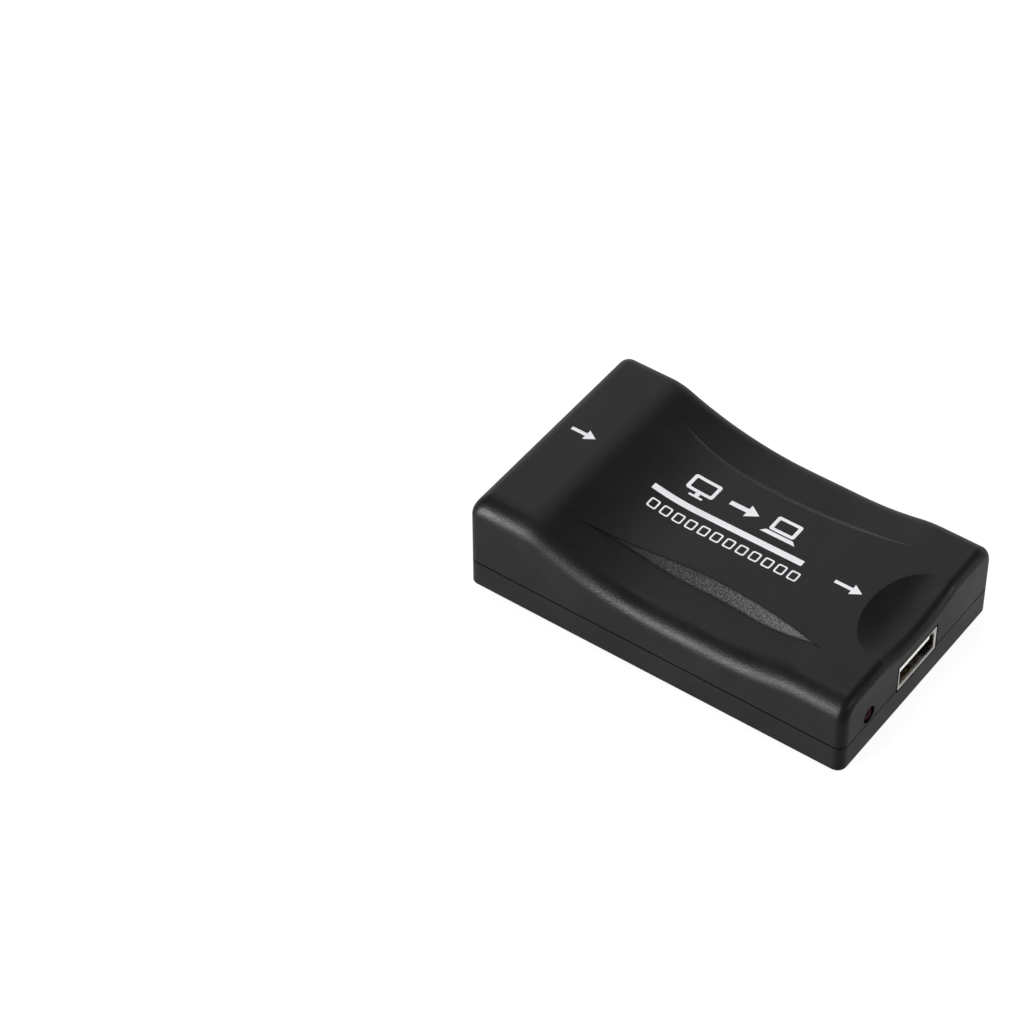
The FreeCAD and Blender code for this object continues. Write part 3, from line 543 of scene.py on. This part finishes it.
# Under the screen, distances down from it and the half width of the stem. Under the laptop's
# screen, how far out past its sides and how far down the base's front and back edges are.
stem_top = 0.05
stem_half = 0.5
stem_round = 0.1
foot_top = 0.8
foot_bottom = 1.3
foot_round = 0.2
base_front = (1.1, 1.3)
base_back = (0.2, 0.35)

# Middle, length, shaft, length of the head and width of the head
title_arrow = (-0.6, 5.9, 6.6, 1.1, 2.6, 3.4)
input_arrow = (-34.9, 0.9, 5.6, 0.8, 2.2, 2.8)
output_arrow = (26.6, -0.1, 6.0, 0.8, 2.2, 2.8)

film_frames = 12
film_start = -16.4
film_pitch = 2.9
film_width = 2.1
film_height = 2.5
film_low = -4.8
film_round = 0.45
film_line = 0.34


def box_outline(x0, y0, x1, y1, radius):
    """A rectangle with rounded corners, as points in millimetres."""
    points = []
    centres = ((x1 - radius, y1 - radius, 0), (x0 + radius, y1 - radius, 1),
               (x0 + radius, y0 + radius, 2), (x1 - radius, y0 + radius, 3))
    for cx, cy, quarter in centres:
        for step in range(round_steps + 1):
            angle = (quarter + step / round_steps) * math.pi / 2.0
            points.append((cx + radius * math.cos(angle), cy + radius * math.sin(angle)))
    return points


def frame_outlines(x0, y0, x1, y1, line, radius, inner_radius):
    """A rounded frame of this line, as its outer and inner outline."""
    return [box_outline(x0, y0, x1, y1, radius),
            box_outline(x0 + line, y0 + line, x1 - line, y1 - line, inner_radius)]


def arrow_outline(x, y, length, shaft, head, width):
    """An arrow along X with its middle at x, y."""
    tail = x - length / 2.0
    tip = x + length / 2.0
    neck = tip - head
    return [(tail, y - shaft / 2.0), (neck, y - shaft / 2.0), (neck, y - width / 2.0), (tip, y),
            (neck, y + width / 2.0), (neck, y + shaft / 2.0), (tail, y + shaft / 2.0)]


def screen_marks():
    """A screen on a foot."""
    x, y = screen_middle
    width, height = screen_size
    low = y - height / 2.0
    glass = frame_outlines(x - width / 2.0, low, x + width / 2.0, y + height / 2.0, picture_line,
                           *screen_rounds)
    stem = box_outline(x - stem_half, low - foot_top, x + stem_half, low - stem_top, stem_round)
    foot = box_outline(x - width / 4.0, low - foot_bottom, x + width / 4.0, low - foot_top,
                       foot_round)
    return [glass, [stem], [foot]]


def laptop_marks():
    """An open portable computer."""
    x, y = laptop_middle
    width, height = laptop_size
    left, right, low = x - width / 2.0, x + width / 2.0, y - height / 2.0
    glass = frame_outlines(left, low, right, y + height / 2.0, picture_line, *laptop_rounds)
    front, back = low - base_front[1], low - base_back[1]
    base = [(left - base_front[0], front), (right + base_front[0], front),
            (right + base_back[0], back), (left - base_back[0], back)]
    return [glass, [base]]


def film_marks():
    """A row of empty film frames."""
    marks = []
    for step in range(film_frames):
        x = film_start + film_pitch * step
        marks.append(frame_outlines(x, film_low, x + film_width, film_low + film_height, film_line,
                                    film_round, film_round - film_line / 2.0))
    return marks


def flat_strips(shapes):
    """A flat mesh of the shapes, cut into strips that can bend along X, and facing up."""
    sheet = bmesh.new()
    for rings in shapes:
        flat = [[Vector((x * MM, y * MM, 0.0)) for x, y in ring] for ring in rings]
        verts = [sheet.verts.new(point) for ring in flat for point in ring]
        for triangle in tessellate_polygon(flat):
            sheet.faces.new([verts[index] for index in triangle])
    xs = [vert.co.x for vert in sheet.verts]
    cut = min(xs) + ink_step
    while cut < max(xs):
        every = sheet.verts[:] + sheet.edges[:] + sheet.faces[:]
        bmesh.ops.bisect_plane(sheet, geom=every, plane_co=(cut, 0.0, 0.0),
                               plane_no=(1.0, 0.0, 0.0))
        cut += ink_step
    bmesh.ops.recalc_face_normals(sheet, faces=sheet.faces)
    for face in sheet.faces:
        if face.normal.z < 0.0:
            face.normal_flip()
    return sheet


def lay_ink(name, shapes, carrier, ink):
    """One printed piece, laid on the surface under it and thickened."""
    sheet = flat_strips(shapes)
    for vert in sheet.verts:
        above = Vector((vert.co.x, vert.co.y, ink_drop))
        found, hit, _, _ = carrier.ray_cast(above, Vector((0.0, 0.0, -1.0)))
        if not found:
            raise RuntimeError(f"{name} lies off its carrier at {vert.co.x}, {vert.co.y}")
        vert.co.z = hit.z
    grown = bmesh.ops.extrude_face_region(sheet, geom=sheet.faces[:])
    for part in grown["geom"]:
        if isinstance(part, bmesh.types.BMVert):
            part.co.z += ink_thickness
    mesh = bpy.data.meshes.new(name)
    sheet.to_mesh(mesh)
    sheet.free()
    mesh.materials.append(ink)
    piece = bpy.data.objects.new(name, mesh)
    bpy.context.scene.collection.objects.link(piece)
    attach(piece, "root")


def print_marks():
    """All the print, on the panel of the top shell."""
    pieces = {
        "print_bar": [[box_outline(*bar_box, bar_round)]],
        "print_pictograms": screen_marks() + [[arrow_outline(*title_arrow)]] + laptop_marks(),
        "print_film_frames": film_marks(),
        "print_input_arrow": [[arrow_outline(*input_arrow)]],
        "print_output_arrow": [[arrow_outline(*output_arrow)]],
    }
    ink = print_ink()
    for name, shapes in pieces.items():
        lay_ink(name, shapes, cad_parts["top_shell"], ink)


# Floor, light and background

floor_reach = 3.0
floor_albedo = (0.28, 0.28, 0.28, 1.0)
floor_lift = 0.84
floor_mirrored = 0.50
sky_level = 0.35
horizon = (0.10, 0.40)

# Name, azimuth, elevation, distance, width, height and radiance. Azimuth 0 is on the -Y side, and
# it turns to +X. A low strip stands on the near left, two weak lights high on the far left, and
# one at the output end.
lights = (
    ("key_light", -26.0, 5.5, 1.0, 0.50, 0.18, 73.0),
    ("far_light", -144.0, 44.0, 1.2, 0.80, 0.80, 1.4),
    ("upper_light", -122.0, 74.0, 1.2, 0.46, 0.34, 4.6),
    ("end_light", 90.0, 14.0, 0.9, 0.60, 0.30, 13.0),
)


def seen_directly(tree):
    """One for rays from the camera and through glass, less in mirrors, and zero for other light."""
    path = put(tree, "ShaderNodeLightPath")
    mirror = product(tree, path.outputs["Is Glossy Ray"], floor_mirrored)
    either = maths(tree, "MAXIMUM", path.outputs["Is Camera Ray"], mirror)
    return maths(tree, "MAXIMUM", either, path.outputs["Is Transmission Ray"])


def make_floor():
    """A plain pale floor that goes white where it is seen, and keeps the shadow."""
    mesh = bpy.data.meshes.new("floor")
    signs = ((-1.0, -1.0), (1.0, -1.0), (1.0, 1.0), (-1.0, 1.0))
    mesh.from_pydata([(x * floor_reach, y * floor_reach, 0.0) for x, y in signs], [],
                     [(0, 1, 2, 3)])
    made, tree = new_tree("pale_floor")
    matt = put(tree, "ShaderNodeBsdfDiffuse", None, Color=floor_albedo)
    lift = put(tree, "ShaderNodeEmission", None, white,
               product(tree, seen_directly(tree), floor_lift))
    both = put(tree, "ShaderNodeAddShader", None, matt.outputs[0], lift.outputs[0])
    put(tree, "ShaderNodeOutputMaterial", None, Surface=both.outputs[0])
    mesh.materials.append(made)
    floor = bpy.data.objects.new("floor", mesh)
    bpy.context.scene.collection.objects.link(floor)


def make_world():
    """White where the camera looks, for mirrors and glass white near the horizon, else dim."""
    world = bpy.data.worlds.new("studio")
    bpy.context.scene.world = world
    world.use_nodes = True
    tree = world.node_tree
    tree.nodes.clear()
    path = put(tree, "ShaderNodeLightPath").outputs
    height = apart(tree, put(tree, "ShaderNodeTexCoord").outputs["Generated"])[2]
    low = spread(tree, height, *horizon, 1.0, sky_level)
    shown = maths(tree, "MAXIMUM", path["Is Glossy Ray"], path["Is Transmission Ray"])
    level = maths(tree, "ADD", product(tree, shown, low),
                  product(tree, one_less(tree, shown), sky_level))
    level = maths(tree, "MAXIMUM", level, path["Is Camera Ray"])
    sky = put(tree, "ShaderNodeBackground", None, white, level)
    put(tree, "ShaderNodeOutputWorld", None, Surface=sky.outputs[0])


def soft_light(name, azimuth, elevation, distance, width, height, radiance):
    """A soft light of this radiance that faces the object."""
    turned = math.radians(azimuth)
    raised = math.radians(elevation)
    direction = Vector((math.sin(turned) * math.cos(raised), -math.cos(turned) * math.cos(raised),
                        math.sin(raised)))
    data = bpy.data.lights.new(name, "AREA")
    data.shape = "RECTANGLE"
    data.size = width
    data.size_y = height
    data.energy = radiance * math.pi * width * height
    light = bpy.data.objects.new(name, data)
    facing = direction.to_track_quat("Z", "Y").to_matrix().to_4x4()
    light.matrix_world = Matrix.Translation(direction * distance) @ facing
    bpy.context.scene.collection.objects.link(light)


make_camera()
dress_nodes()
print_marks()
make_floor()
make_world()
for row in lights:
    soft_light(*row)
bpy.context.scene.view_settings.view_transform = "Standard"
